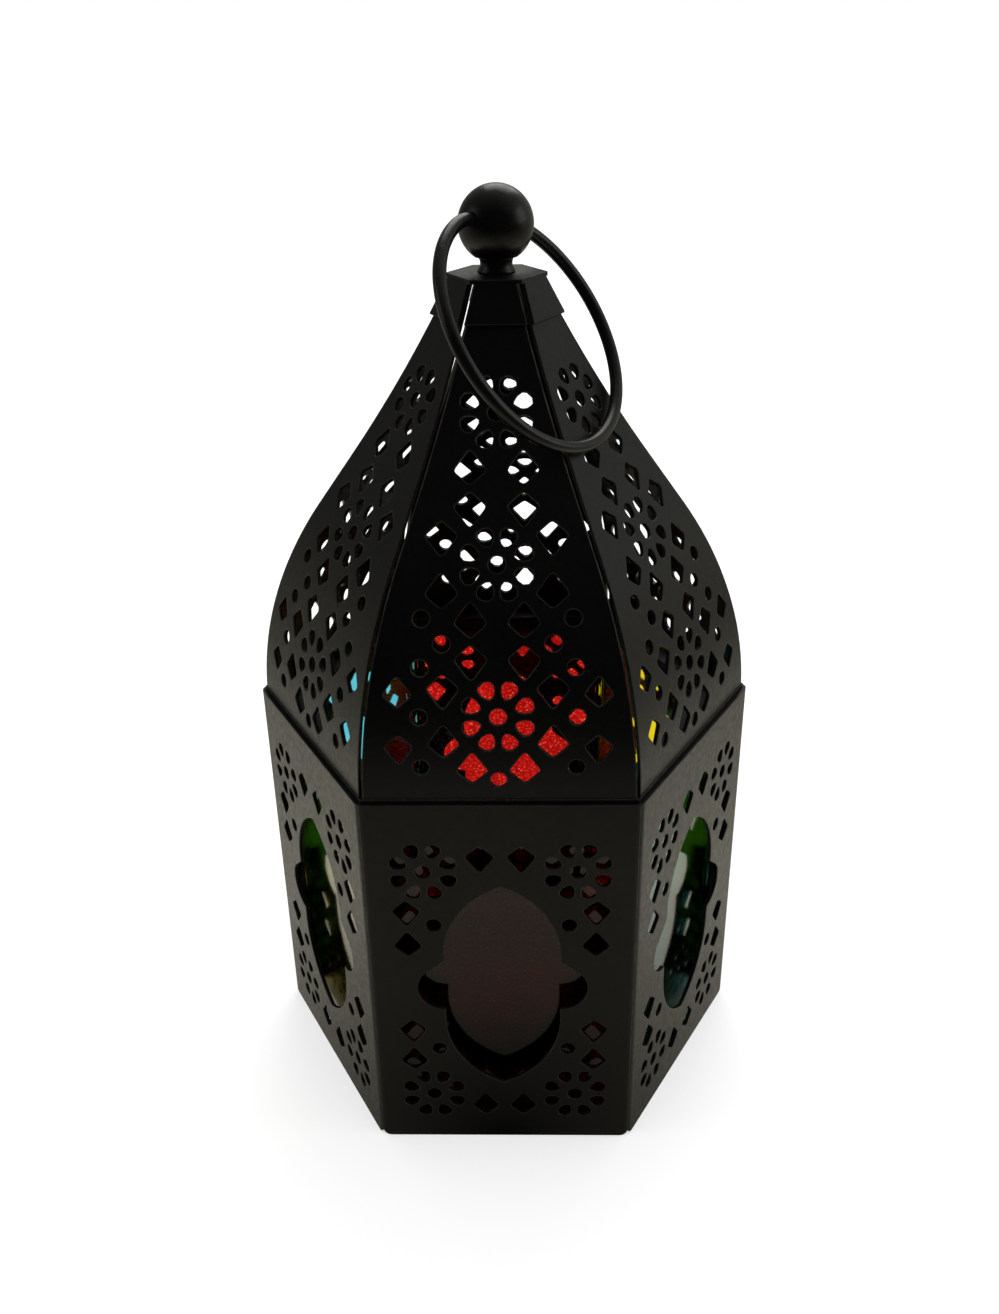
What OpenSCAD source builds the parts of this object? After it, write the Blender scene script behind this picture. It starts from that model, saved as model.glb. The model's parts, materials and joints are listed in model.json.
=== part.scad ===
// Six-sided metal lantern with pierced sheet walls, coloured panes and a bell-shaped roof.
// Millimetres, +Z up, front panel towards -Y, origin at the middle of the base plate's underside.

/* [Body] */
// Width of one panel, corner to corner, which is also the hexagon's corner radius
side_w = 52; // [48:0.5:60]
// Height of the six panels
body_h = 83.5; // [78:0.5:95]
// Thickness of the sheet metal
sheet_t = 0.8; // [0.6:0.05:1]
// Outside radius of the bend at each corner
bend_r = 2; // [1.6:0.1:3]
// Radius of a panel's two lower corners
foot_corner_r = 2; // [1:0.25:5]
// Width of the mitred seam between two panels
seam_w = 0.02; // [0.01:0.01:0.1]
// Thickness of the base plate
base_t = 0.8; // [0.6:0.05:1.2]
// Height of the base plate's folded edges
base_edge_h = 4; // [3:0.25:4.25]
// How far the base plate stops short of each corner
base_corner_cut = 9; // [7:0.5:12]

/* [Piercing] */
// Half of the window's width at its straight part
window_half_w = 11.4; // [9:0.1:12]
// Half of the window's height, to its points
window_half_h = 25; // [22:0.25:26]
// Height above the middle at which the window starts to close
window_spring_h = 8.3; // [6:0.1:10]
// Radius of the window's two side lobes
lobe_r = 5.3; // [4.5:0.1:5.6]
// Distance of a lobe's centre from the panel's middle
lobe_reach = 11.5; // [11:0.1:11.8]
// Height above the middle at which the window's side slants out to its lobe
lobe_flare_h = 7; // [6:0.25:8]
// Radius of the ring of eight petals in a rosette
rosette_r = 5; // [4.8:0.05:5.2]
// Length of one rosette petal
rosette_petal_l = 3.3; // [2.6:0.05:3.4]
// Width of one rosette petal
rosette_petal_w = 2.8; // [2.2:0.05:2.9]
// Width of the hole in a rosette's middle
rosette_eye_d = 3; // [2:0.1:3.3]
// Width of a kite-shaped hole, before its corners are rounded
kite_w = 5.7; // [4.6:0.1:5.9]
// Height of a kite-shaped hole, before its corners are rounded
kite_h = 6.3; // [5:0.1:6.5]
// Diameter of a single round hole
dot_d = 3; // [2:0.1:3.2]
// Size of the roof's holes against the panels' holes
roof_hole_share = 1.05; // [0.95:0.01:1.1]

/* [Roof] */
// Height of the open seam between the panels and the roof
roof_gap = 0.8; // [0.6:0.1:1.2]
// How far the roof's foot stands in from the panels' faces
roof_inset = 1; // [0.9:0.05:1.2]
// Lean of the roof at its foot, in degrees from upright
foot_lean = 1.5; // [1:0.25:3]
// Steepest lean of the roof, in degrees from upright
waist_lean = 32; // [31.5:0.25:33]
// Lean of the roof at its top, in degrees from upright
top_lean = 24.4; // [23:0.1:25.5]
// Radius of the roof's swelling lower curve
swell_r = 81; // [78:0.5:84]
// Length of the roof's straight stretch
straight_l = 13; // [12:0.25:15]
// Distance of the petals' tops from the middle axis
top_r = 7.3; // [7:0.1:8]
// Width of the gap between two roof petals at their feet
hip_gap_foot = 0.8; // [0.5:0.05:1]
// Width of the gap between two roof petals at their tops
hip_gap_top = 1.25; // [0.8:0.05:1.6]
// Height of the rim frame's upright band below the panels' top
rim_band_h = 4.5; // [3.5:0.25:5]
// Width of the rim frame's inward flange
rim_flange_w = 7; // [6.8:0.1:8]

/* [Finial] */
// Length of the cap's six tabs, along the roof
cap_tab_l = 7.5; // [6:0.25:10]
// Width of the slot between two of the cap's tabs
cap_slot_w = 1.4; // [1:0.1:2]
// Diameter of the ball
ball_d = 13.8; // [13:0.1:16]
// Height of the ball's centre above the cap
ball_lift = 8.4; // [8.2:0.1:10]
// Depth of the flat on which the ball sits, inside its round outline
ball_seat_depth = 0.6; // [0.4:0.1:0.9]
// Diameter of the spacer under the ball
spacer_d = 6; // [5.6:0.1:6.8]
// Diameter of the threaded stud
stud_d = 4; // [3:0.1:4.2]
// Play between the stud and what it passes through
stud_play = 0.2; // [0.1:0.05:0.3]
// Length of the stud's end below its nut
stud_end_l = 1; // [0.5:0.1:2]
// Width of the washer under the cap
washer_d = 9; // [8:0.1:9.2]
// Thickness of the washer under the cap
washer_t = 0.8; // [0.6:0.1:1]
// Width of the nut across its flats
nut_w = 7; // [6:0.1:7]
// Thickness of the nut
nut_t = 3; // [2.5:0.1:3.2]

/* [Ring handle] */
// Diameter of the ring's wire
wire_d = 2.4; // [2:0.1:2.6]
// Radius of the ring, to the middle of its wire
ring_r = 22.4; // [21.5:0.1:23]
// Direction of the ball's cross hole, in degrees from +X
hole_turn = 50.4; // [45:0.1:55]
// Slope of the ball's cross hole, in degrees
hole_slope = 11.9; // [8:0.1:12]
// Gap between the resting ring and the roof
ring_rest_gap = 0.35; // [0.3:0.05:1]
// Play round the wire in its hole
wire_play = 0.06; // [0.04:0.01:0.1]

/* [Panes] */
// Thickness of the glass
glass_t = 2; // [1.5:0.1:2.2]
// Depth of the glass behind a panel's face
glass_depth = 3.7; // [3.5:0.05:4]
// Gap that a pane leaves to the corner between two sides
glass_corner_gap = 0.5; // [0.3:0.1:1.5]
// Thickness of the channels' sheet
channel_t = 0.6; // [0.4:0.05:0.7]
// Height of the channels' lips
channel_h = 3.4; // [2.5:0.1:3.4]
// Play between the glass and its channels
glass_play = 0.2; // [0.1:0.05:0.3]
// Gap that a channel leaves to the corner between two sides
channel_end_gap = 1.75; // [1.25:0.25:6]

/* [Door] */
// Play round the door's edges
door_play = 0.3; // [0.3:0.05:0.5]
// Diameter of the hinge pin
pin_d = 1.5; // [1.2:0.05:1.6]
// Play between the pin and the knuckles
pin_play = 0.05; // [0.03:0.01:0.08]
// Wall of the rolled knuckles
knuckle_wall = 0.75; // [0.6:0.05:0.8]
// Length of one of the five knuckles
knuckle_l = 11; // [9:0.25:13]
// Gap between two knuckles
knuckle_gap = 0.4; // [0.3:0.05:0.6]
// Diameter of the pin's heads
pin_head_d = 2.6; // [2.2:0.1:3]
// Thickness of the pin's heads
pin_head_t = 0.8; // [0.5:0.1:1.2]

/* [Latch] */
// Distance of the latch's shaft from the door's free edge
latch_inset = 6; // [5.6:0.1:6.5]
// Diameter of the latch's shaft
shaft_d = 2.4; // [2:0.1:2.6]
// Play between the shaft and the door
shaft_play = 0.06; // [0.04:0.01:0.1]
// Diameter of the knob's collar
collar_d = 6; // [5:0.1:6.4]
// Thickness of the knob's collar
collar_t = 1.2; // [1:0.1:2]
// Length of the knob's wing
wing_l = 8; // [6:0.1:9]
// Thickness of the knob's wing
wing_t = 1.8; // [1.4:0.1:2.4]
// Height of the knob's wing
wing_h = 4; // [3:0.1:5]
// Length of the tongue beyond the shaft
tongue_l = 4.8; // [4.6:0.1:5]
// Width of the tongue
tongue_w = 3.2; // [3:0.1:4]
// Thickness of the tongue
tongue_t = 0.7; // [0.6:0.05:0.8]
// Thickness of the strike's sheet
strike_t = 0.5; // [0.4:0.05:0.6]
// Height of the strike
strike_h = 14; // [12:0.5:20]
// Reach of the strike's lip behind the door
strike_reach = 2.2; // [2:0.1:2.4]
// Length of the strike's leg along the panel that carries it
strike_leg_l = 4.4; // [4:0.1:6]

/* [Candle cup] */
// Inside diameter of the cup
cup_d = 40; // [38:0.5:42]
// Height of the cup
cup_h = 8; // [6:0.25:12]
// Wall of the cup
cup_wall = 0.8; // [0.6:0.1:1.2]
// Radius of the cup's rolled rim
cup_rim_r = 0.9; // [0.7:0.05:1.1]

/* [Hidden] */

$fn = 48;
sides = 6;
step = 360 / sides;
half_step = step / 2;
overrun = 1;
// Overlap that joins two stretches of one piece
weld = 0.1;

// Turns of the six sides from the front, anticlockwise seen from above
turn_front = 0;
turn_front_right = step;
turn_rear_right = 2 * step;
turn_rear = 3 * step;
turn_rear_left = 4 * step;
turn_front_left = 5 * step;
fixed_turns = [turn_front, turn_front_right, turn_rear_right, turn_rear_left, turn_front_left];

// Body
face_r = side_w * cos(half_step);
inner_r = face_r - sheet_t;
bend_start = side_w / 2 - bend_r * tan(half_step);
band_play_share = 0.03;
band_r = inner_r - band_play_share * sheet_t;

// Piercing: places as shares of the panel's width and height, from the pattern's middle
pattern_height_share = 0.4825;
pattern_z = pattern_height_share * body_h;
rosette_place_shares = [0.28, 0.339];
middle_kite_shares = [0.075, 0.3725];
high_kite_shares = [0.35, 0.222];
low_kite_shares = [0.35, 0.1345];
dot_place_shares = [0.25, 0.1886];
kite_wide_share = 0.4;
kite_round_share = 0.16;
egg_taper_share = 0.32;
window_arc_h = window_half_h - window_spring_h;
window_arc_r = (window_half_w * window_half_w + window_arc_h * window_arc_h) / (2 * window_half_w);
window_arc_c = window_arc_r - window_half_w;
flare_start = [window_half_w, lobe_flare_h];
flare_span = flare_start - [lobe_reach, 0];
flare_turn = atan2(flare_span[1], flare_span[0]) - acos(lobe_r / norm(flare_span));
flare_end = [lobe_reach, 0] + lobe_r * [cos(flare_turn), sin(flare_turn)];

// Roof: the profile is a swelling arc, a straight and a hollow arc that reaches the petals' tops
roof_z = body_h + roof_gap;
foot_r = face_r - roof_inset;
hollow_run = foot_r - swell_r * (cos(foot_lean) - cos(waist_lean)) - straight_l * sin(waist_lean) - top_r;
hollow_r = hollow_run / (cos(top_lean) - cos(waist_lean));
swell_l = swell_r * (waist_lean - foot_lean) * PI / 180;
hollow_l = hollow_r * (waist_lean - top_lean) * PI / 180;
roof_l = swell_l + straight_l + hollow_l;
swell_c = [foot_r - swell_r * cos(foot_lean), roof_z - swell_r * sin(foot_lean)];
waist_a = swell_c + swell_r * [cos(waist_lean), sin(waist_lean)];
waist_b = waist_a + straight_l * [-sin(waist_lean), cos(waist_lean)];
hollow_c = waist_b + hollow_r * [cos(waist_lean), sin(waist_lean)];
top_p = hollow_c - hollow_r * [cos(top_lean), sin(top_lean)];
petal_half_w = side_w / 2 + overrun;

// Roof piercing: heights as shares of the profile's length, widths as shares of the panel
roof_rosette_shares = [0.172, 0.464, 0.756];
roof_ring_share = 0.0985;
roof_kite_ring_share = 0.2085;
roof_kite_turns = [26, 65];
roof_edge_kite_share = 0.93;
roof_edge_kite_shares = [[0.345, 0.105], [0.345, 0.222]];
roof_dot_shares = [[0, 0.042], [0.27, 0.069], [0.272, 0.172], [0.265, 0.268], [0.19, 0.314],
  [0.258, 0.362], [0, 0.612]];

// Cap: a flat top whose tabs follow the roof's hollow arc
cap_t = sheet_t;
cap_lean = top_lean + cap_tab_l / hollow_r * 180 / PI;
cap_z = top_p[1];
cap_top = cap_z + cap_t;

// Finial
ball_z = cap_top + ball_lift;
ball_seat_z = ball_z - sqrt(ball_d * ball_d - spacer_d * spacer_d) / 2 + ball_seat_depth;
stud_top = ball_z - wire_d;
stud_low = cap_z - washer_t - nut_t - stud_end_l;

// Ring: a straight stretch through the ball, the rest a circle
ring_bead_share = 1.04;
ring_pin_half = ball_d / 2 + wire_d / 2 + wire_play;
ring_pin_angle = asin(ring_pin_half / ring_r);
ring_centre_drop = ring_r * cos(ring_pin_angle);

// The ring at rest: it hangs down from the level of its hole until it comes near the roof
hole_x = [cos(hole_turn) * cos(hole_slope), sin(hole_turn) * cos(hole_slope), -sin(hole_slope)];
hole_y = [-sin(hole_turn), cos(hole_turn), 0];
hole_z = [cos(hole_turn) * sin(hole_slope), sin(hole_turn) * sin(hole_slope), cos(hole_slope)];
droop_least = 20;
droop_most = 85;
droop_halvings = 22;
ring_droop = settled_droop(droop_least, droop_most, droop_halvings);

// Panes and channels, as depths behind a panel's face
glass_r = face_r - glass_depth;
lip_out_r = glass_r + glass_play + channel_t;
lip_in_r = glass_r - glass_t - glass_play - channel_t;
glass_half_w = (glass_r - glass_t) * tan(half_step) - glass_corner_gap;
channel_half_l = lip_in_r * tan(half_step) - channel_end_gap;
glass_low = base_t + channel_t + glass_play;
shelf_top = body_h - base_t;
shelf_low = shelf_top - sheet_t;
glass_high = shelf_low - channel_t - glass_play;

// Door and hinge
door_low = base_t + door_play;
door_high = shelf_low - door_play;
knuckle_r = pin_d / 2 + pin_play + knuckle_wall;
hinge_apothem = face_r - knuckle_r;
hinge_x = hinge_apothem * tan(half_step);
knuckle_pitch = knuckle_l + knuckle_gap;
knuckle_count = 5;
hinge_low = (body_h - knuckle_count * knuckle_pitch + knuckle_gap) / 2;
hinge_high = hinge_low + knuckle_count * knuckle_pitch - knuckle_gap;
door_channel_low = door_low + door_play / 2;
door_channel_high = door_high - door_play / 2;
door_glass_low = door_channel_low + channel_t + glass_play;
door_glass_high = door_channel_high - channel_t - glass_play;

// Latch
latch_z = body_h / 2;
latch_reach = side_w / 2 - latch_inset;
latch_hole_d = shaft_d + 2 * shaft_play;
tongue_face = inner_r - door_play - strike_t - door_play;
strike_face = inner_r - door_play;

// A kite with rounded corners, its narrow end towards +Y
function kite_corners(w, h) = [[0, h / 2], [-w / 2, kite_wide_share * h - h / 2],
  [0, -h / 2], [w / 2, kite_wide_share * h - h / 2]];
function blend(a, b, k) = a * (1 - k) + b * k;
function rounded(p, k) = [for (i = [0:len(p) - 1]) for (c = [0:2])
  let (here = p[i], last = p[(i + len(p) - 1) % len(p)], next = p[(i + 1) % len(p)])
  c == 0 ? blend(here, last, k) : c == 1 ? blend(here, (last + next) / 2, k / 2) : blend(here, next, k)];

module kite_2d(w = kite_w, h = kite_h) {
  polygon(rounded(kite_corners(w, h), kite_round_share));
}

// One petal of a rosette, wider away from the rosette's middle, which lies towards -Y
module egg_2d(w, l) {
  polygon([for (a = [0:360 / 10:359])
    [w / 2 * sin(a) * (1 + egg_taper_share * cos(a)), l / 2 * cos(a)]]);
}

module rosette_2d() {
  circle(d = rosette_eye_d, $fn = 16);
  for (i = [0:7])
    rotate(360 / 8 * (i + 0.5))
      translate([0, rosette_r])
        egg_2d(rosette_petal_w, rosette_petal_l);
}

module window_2d() {
  for (m = [0, 1])
    mirror([0, m])
      intersection() {
        translate([-window_arc_c, window_spring_h]) circle(window_arc_r, $fn = 96);
        translate([window_arc_c, window_spring_h]) circle(window_arc_r, $fn = 96);
        translate([-window_half_w, 0]) square([2 * window_half_w, window_half_h]);
      }
  square([2 * window_half_w, 2 * window_spring_h], center = true);
  for (m = [0, 1])
    mirror([m, 0]) {
      translate([lobe_reach, 0]) circle(lobe_r);
      polygon([[0, 0], [0, lobe_flare_h], flare_start, flare_end, [lobe_reach, 0]]);
    }
}

// All holes of one panel, with the pattern's middle at the origin
module pattern_2d() {
  window_2d();
  for (m = [0, 1], n = [0, 1])
    mirror([m, 0]) mirror([0, n]) {
      translate([rosette_place_shares[0] * side_w, rosette_place_shares[1] * body_h]) rosette_2d();
      translate([middle_kite_shares[0] * side_w, middle_kite_shares[1] * body_h])
        rotate(180) kite_2d();
      translate([high_kite_shares[0] * side_w, high_kite_shares[1] * body_h]) rotate(180) kite_2d();
      translate([low_kite_shares[0] * side_w, low_kite_shares[1] * body_h]) kite_2d();
      translate([dot_place_shares[0] * side_w, dot_place_shares[1] * body_h])
        circle(d = dot_d, $fn = 24);
    }
}

// Plan of one panel on the front side: a flat stretch and half of the bend at each end
module panel_plan(left_bend = true, right_bend = true, gap = seam_w) {
  translate([-bend_start, -face_r]) square([2 * bend_start, sheet_t]);
  for (m = [0, 1])
    if (m == 0 ? right_bend : left_bend)
      mirror([m, 0])
        translate([bend_start, -face_r + bend_r])
          intersection() {
            difference() {
              circle(bend_r);
              circle(bend_r - sheet_t);
            }
            polygon([[0, 0], [0, -2 * bend_r],
              2 * bend_r * [sin(half_step), -cos(half_step)] - [gap, 0], [-gap, 0]]);
          }
}

module foot_corner(m) {
  translate([m * side_w / 2, 0, 0])
    rotate([90, 0, 0])
      linear_extrude(height = 2 * face_r)
        mirror([m > 0 ? 1 : 0, 0])
          difference() {
            translate([-overrun, -overrun]) square(foot_corner_r + overrun);
            translate([foot_corner_r, foot_corner_r]) circle(foot_corner_r);
          }
}

module piercing() {
  translate([0, overrun - face_r + sheet_t, pattern_z])
    rotate([90, 0, 0])
      linear_extrude(height = sheet_t + 2 * overrun) pattern_2d();
}

module panel(left_bend = true, right_bend = true) {
  difference() {
    linear_extrude(height = body_h) panel_plan(left_bend, right_bend);
    piercing();
    for (m = [-1, 1]) foot_corner(m);
  }
}

// A knuckle of the hinge, drawn on the rear side, at the corner towards the given side
module knuckles(first, m) {
  for (i = [first:2:knuckle_count - 1])
    translate([0, 0, hinge_low + i * knuckle_pitch])
      difference() {
        union() {
          translate([m * hinge_x, -hinge_apothem, 0]) cylinder(r = knuckle_r, h = knuckle_l);
          translate([m > 0 ? bend_start - overrun : -hinge_x, -face_r, 0])
            cube([hinge_x - bend_start + overrun, sheet_t, knuckle_l]);
        }
        translate([m * hinge_x, -hinge_apothem, -overrun])
          cylinder(d = pin_d + 2 * pin_play, h = knuckle_l + 2 * overrun);
      }
}

// Room that a panel leaves for the other leaf's knuckles
module knuckle_room(m) {
  translate([m * hinge_x, -hinge_apothem, -overrun])
    cylinder(r = knuckle_r + door_play, h = body_h + 2 * overrun);
}

module base_plate() {
  color("#1b1b1c")
    difference() {
      union() {
        linear_extrude(height = base_t)
          circle(r = band_r / cos(half_step), $fn = sides);
        for (t = fixed_turns)
          rotate(t)
            translate([base_corner_cut - side_w / 2, -band_r, 0])
              cube([side_w - 2 * base_corner_cut, sheet_t, base_edge_h]);
      }
      for (i = [0:sides - 1])
        rotate(i * step)
          translate([band_r / cos(half_step) - base_corner_cut, -side_w / 2, -overrun])
            cube([2 * base_corner_cut, side_w, base_edge_h + 2 * overrun]);
    }
}

module candle_cup() {
  color("#1b1b1c")
    translate([0, 0, base_t])
      rotate_extrude($fn = 72)
        difference() {
          union() {
            square([cup_d / 2 + cup_wall, cup_h]);
            translate([cup_d / 2 + cup_rim_r, cup_h]) circle(cup_rim_r, $fn = 24);
          }
          translate([0, cup_wall]) square([cup_d / 2, cup_h + 2 * cup_rim_r]);
        }
}

module panel_front() {
  color("#1d1c1b") panel();
}

module panel_front_left() {
  color("#1d1c1b") rotate(turn_front_left) panel();
}

module panel_front_right() {
  color("#1d1c1b") rotate(turn_front_right) panel();
}

// The rear left panel carries three of the hinge's knuckles
module panel_rear_left() {
  color("#1d1c1b")
    rotate(turn_rear_left) {
      difference() {
        panel(left_bend = false);
        knuckle_room(-1);
      }
      knuckles(0, -1);
    }
}

module panel_rear_right() {
  color("#1d1c1b") rotate(turn_rear_right) panel();
}

module door_panel() {
  color("#1d1c1b")
    rotate(turn_rear)
      difference() {
        union() {
          difference() {
            translate([0, 0, door_low])
              linear_extrude(height = door_high - door_low)
                panel_plan(true, false, door_play);
            piercing();
            knuckle_room(1);
            for (m = [-1, 1]) foot_corner(m);
          }
          knuckles(1, 1);
        }
        translate([-latch_reach, -face_r - overrun, latch_z])
          rotate([-90, 0, 0])
            cylinder(d = latch_hole_d, h = sheet_t + 2 * overrun);
      }
}

module hinge_pin() {
  color("#4a4a4c")
    rotate(turn_rear)
      translate([hinge_x, -hinge_apothem, hinge_low]) {
        cylinder(d = pin_d, h = hinge_high - hinge_low);
        translate([0, 0, -pin_head_t]) cylinder(d = pin_head_d, h = pin_head_t);
        translate([0, 0, hinge_high - hinge_low]) cylinder(d = pin_head_d, h = pin_head_t);
      }
}

module latch_knob() {
  color("#3a3a3b")
    rotate(turn_rear)
      translate([-latch_reach, -face_r, latch_z])
        rotate([90, 0, 0]) {
          translate([0, 0, door_play / 2]) cylinder(d = collar_d, h = collar_t);
          translate([0, 0, door_play / 2 + collar_t])
            intersection() {
              translate([-wing_t / 2, -wing_l / 2, 0]) cube([wing_t, wing_l, wing_h]);
              translate([-wing_t, 0, 0]) rotate([0, 90, 0]) cylinder(r = wing_l / 2, h = 2 * wing_t);
            }
          translate([0, 0, tongue_face - face_r]) cylinder(d = shaft_d, h = face_r - tongue_face + door_play);
        }
}

module latch_tongue() {
  color("#4a4a4c")
    rotate(turn_rear)
      translate([-latch_reach, -tongue_face, latch_z])
        rotate([-90, 0, 0])
          linear_extrude(height = tongue_t) {
            circle(d = tongue_w);
            translate([-tongue_w / 2, 0]) square([tongue_w, tongue_l]);
          }
}

// An angle fixed inside the rear right panel, whose lip lies behind the door's free edge
module strike_plate() {
  lip_x = strike_face * tan(half_step);
  leg_end = strike_leg_l * [-cos(step), sin(step)];
  color("#4a4a4c")
    rotate(turn_rear)
      translate([0, 0, latch_z - strike_h / 2])
        linear_extrude(height = strike_h)
          difference() {
            polygon([[-lip_x, -strike_face], [strike_reach - lip_x, -strike_face],
              [strike_reach - lip_x, strike_t - strike_face],
              [strike_t * tan(half_step) - lip_x, strike_t - strike_face],
              leg_end + [strike_t * tan(half_step) - lip_x, strike_t - strike_face],
              leg_end + [-lip_x, -strike_face]]);
            rotate(turn_rear_right - turn_rear)
              translate([-side_w, -band_r - side_w]) square([2 * side_w, side_w]);
          }
}

// A pane on the front side
module pane(low, high) {
  translate([-glass_half_w, -glass_r, low])
    cube([2 * glass_half_w, glass_t, high - low]);
}

module glass_front() {
  color("#b3121a", 0.6) pane(glass_low, glass_high);
}

module glass_front_left() {
  color("#e3c81e", 0.6) rotate(turn_front_left) pane(glass_low, glass_high);
}

module glass_front_right() {
  color("#3fb7c4", 0.6) rotate(turn_front_right) pane(glass_low, glass_high);
}

module glass_rear_left() {
  color("#3fb7c4", 0.6) rotate(turn_rear_left) pane(glass_low, glass_high);
}

module glass_rear_right() {
  color("#e3c81e", 0.6) rotate(turn_rear_right) pane(glass_low, glass_high);
}

module door_glass() {
  color("#b3121a", 0.6) rotate(turn_rear) pane(door_glass_low, door_glass_high);
}

// A channel on the front side, its floor at height zero and its lips up
module channel() {
  translate([-channel_half_l, -lip_out_r, 0]) {
    cube([2 * channel_half_l, lip_out_r - lip_in_r, channel_t]);
    cube([2 * channel_half_l, channel_t, channel_h]);
    translate([0, lip_out_r - lip_in_r - channel_t, 0])
      cube([2 * channel_half_l, channel_t, channel_h]);
  }
}

module lower_channels() {
  color("#2a2a2b")
    for (t = fixed_turns)
      rotate(t) translate([0, 0, base_t]) channel();
}

module upper_channels() {
  color("#2a2a2b")
    for (t = fixed_turns)
      rotate(t) translate([0, 0, shelf_low]) mirror([0, 0, 1]) channel();
}

// The door's channels hang on a foot that lies against the door's inside
module door_channel() {
  channel();
  translate([-channel_half_l, -inner_r, 0]) {
    cube([2 * channel_half_l, inner_r - lip_out_r + channel_t, channel_t]);
    cube([2 * channel_half_l, channel_t, channel_h]);
  }
}

module door_channels() {
  color("#2a2a2b")
    rotate(turn_rear) {
      translate([0, 0, door_channel_low]) door_channel();
      translate([0, 0, door_channel_high]) mirror([0, 0, 1]) door_channel();
    }
}

// Band behind the open seam, and the flange that carries the upper channels
module rim_frame() {
  color("#161616")
    difference() {
      union() {
        translate([0, 0, shelf_low])
          cylinder(r = band_r / cos(half_step), h = roof_z - shelf_low, $fn = sides);
        for (t = fixed_turns)
          rotate(t)
            translate([base_corner_cut - side_w / 2, -band_r, body_h - rim_band_h])
              cube([side_w - 2 * base_corner_cut, sheet_t, rim_band_h]);
      }
      translate([0, 0, shelf_top])
        cylinder(r = (band_r - sheet_t) / cos(half_step), h = roof_z, $fn = sides);
      translate([0, 0, shelf_low - overrun])
        cylinder(r = (band_r - rim_flange_w) / cos(half_step), h = roof_z, $fn = sides);
    }
}

// Lean of the roof and a place on its face, at a length along the profile
function lean_at(t) = t < swell_l ? foot_lean + t / swell_r * 180 / PI
  : t < swell_l + straight_l ? waist_lean
  : waist_lean - (t - swell_l - straight_l) / hollow_r * 180 / PI;
function place_at(t) = t < swell_l ? swell_c + swell_r * [cos(lean_at(t)), sin(lean_at(t))]
  : t < swell_l + straight_l
    ? waist_a + (t - swell_l) * [-sin(waist_lean), cos(waist_lean)]
    : hollow_c - hollow_r * [cos(lean_at(t)), sin(lean_at(t))];

// Distance of a place outside the roof, for one side's section and for all six sides
function outside_section(p) = (p - waist_a) * [-sin(waist_lean), cos(waist_lean)] < 0
  ? norm(p - swell_c) - swell_r
  : (p - waist_b) * [-sin(waist_lean), cos(waist_lean)] < 0
    ? (p - waist_a) * [cos(waist_lean), sin(waist_lean)]
    : hollow_r - norm(p - hollow_c);
function outside_roof(p) = max([for (t = [0:step:360 - step])
  outside_section([p[0] * sin(t) - p[1] * cos(t), p[2]])]);

// A place on the ring's wire at a turn from its lowest point, and the least gap of the drooping ring
function ring_place(turn, droop) = [0, 0, ball_z] + ring_r * sin(turn) * hole_x
  - (ring_centre_drop + ring_r * cos(turn)) * (cos(droop) * hole_y + sin(droop) * hole_z);
function ring_gap(droop) = min([for (turn = [-100:2:100]) outside_roof(ring_place(turn, droop))]) - wire_d / 2;
function settled_droop(low, high, halvings) = halvings == 0 ? low
  : let (middle = (low + high) / 2)
    ring_gap(middle) > ring_rest_gap ? settled_droop(middle, high, halvings - 1)
    : settled_droop(low, middle, halvings - 1);

// Section of a sheet that follows the roof, with its outer face the given distance out
module roof_section(out, t, hollow_from = waist_lean, whole = true) {
  if (whole) {
    translate(swell_c)
      intersection() {
        difference() {
          circle(swell_r + out, $fn = 180);
          circle(swell_r + out - t, $fn = 180);
        }
        polygon([[0, 0], 2 * swell_r * [cos(foot_lean), sin(foot_lean)],
          2 * swell_r * [cos(waist_lean), sin(waist_lean)]]);
      }
    translate(waist_a)
      rotate(waist_lean)
        translate([out - t, -weld]) square([t, straight_l + 2 * weld]);
  }
  translate(hollow_c)
    rotate(180)
      intersection() {
        difference() {
          circle(hollow_r - out + t, $fn = 720);
          circle(hollow_r - out, $fn = 720);
        }
        polygon([[0, 0], 2 * hollow_r * [cos(top_lean), sin(top_lean)],
          2 * hollow_r * [cos(hollow_from), sin(hollow_from)]]);
      }
}

// Turns a section's outward and upward axes to the front side, and draws it across
module across(half_w) {
  rotate([90, 0, -90])
    linear_extrude(height = 2 * half_w, center = true) children();
}

// All that lies on the front side of one hip, less half of a gap that widens from foot to top
module beside_hip(foot_gap, top_gap) {
  reach = 2 * side_w;
  widening = atan((top_gap - foot_gap) / 2 / (cap_z - roof_z));
  rotate(180 + half_step)
    translate([foot_gap / 2, 0, roof_z])
      rotate([0, widening, 0])
        translate([0, -reach, -reach]) cube([reach, 2 * reach, 3 * reach]);
}

// The sixth of the plan that belongs to the front side, less its share of the gaps
module front_wedge(foot_gap, top_gap) {
  intersection() {
    beside_hip(foot_gap, top_gap);
    mirror([1, 0]) beside_hip(foot_gap, top_gap);
  }
}

// A hole of the roof, square to the sheet at its own place
module roof_hole(x, t) {
  p = place_at(t);
  translate([x, -p[0], p[1]])
    rotate([90 - lean_at(t), 0, 0])
      linear_extrude(height = 4 * sheet_t, center = true) children();
}

module roof_rosette(t) {
  roof_hole(0, t) circle(d = rosette_eye_d * roof_hole_share, $fn = 16);
  for (i = [0:7]) {
    a = 360 / 8 * (i + 0.5);
    roof_hole(-roof_ring_share * side_w * sin(a), t + roof_ring_share * side_w * cos(a))
      rotate(a) egg_2d(rosette_petal_w * roof_hole_share, rosette_petal_l * roof_hole_share);
  }
}

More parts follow.
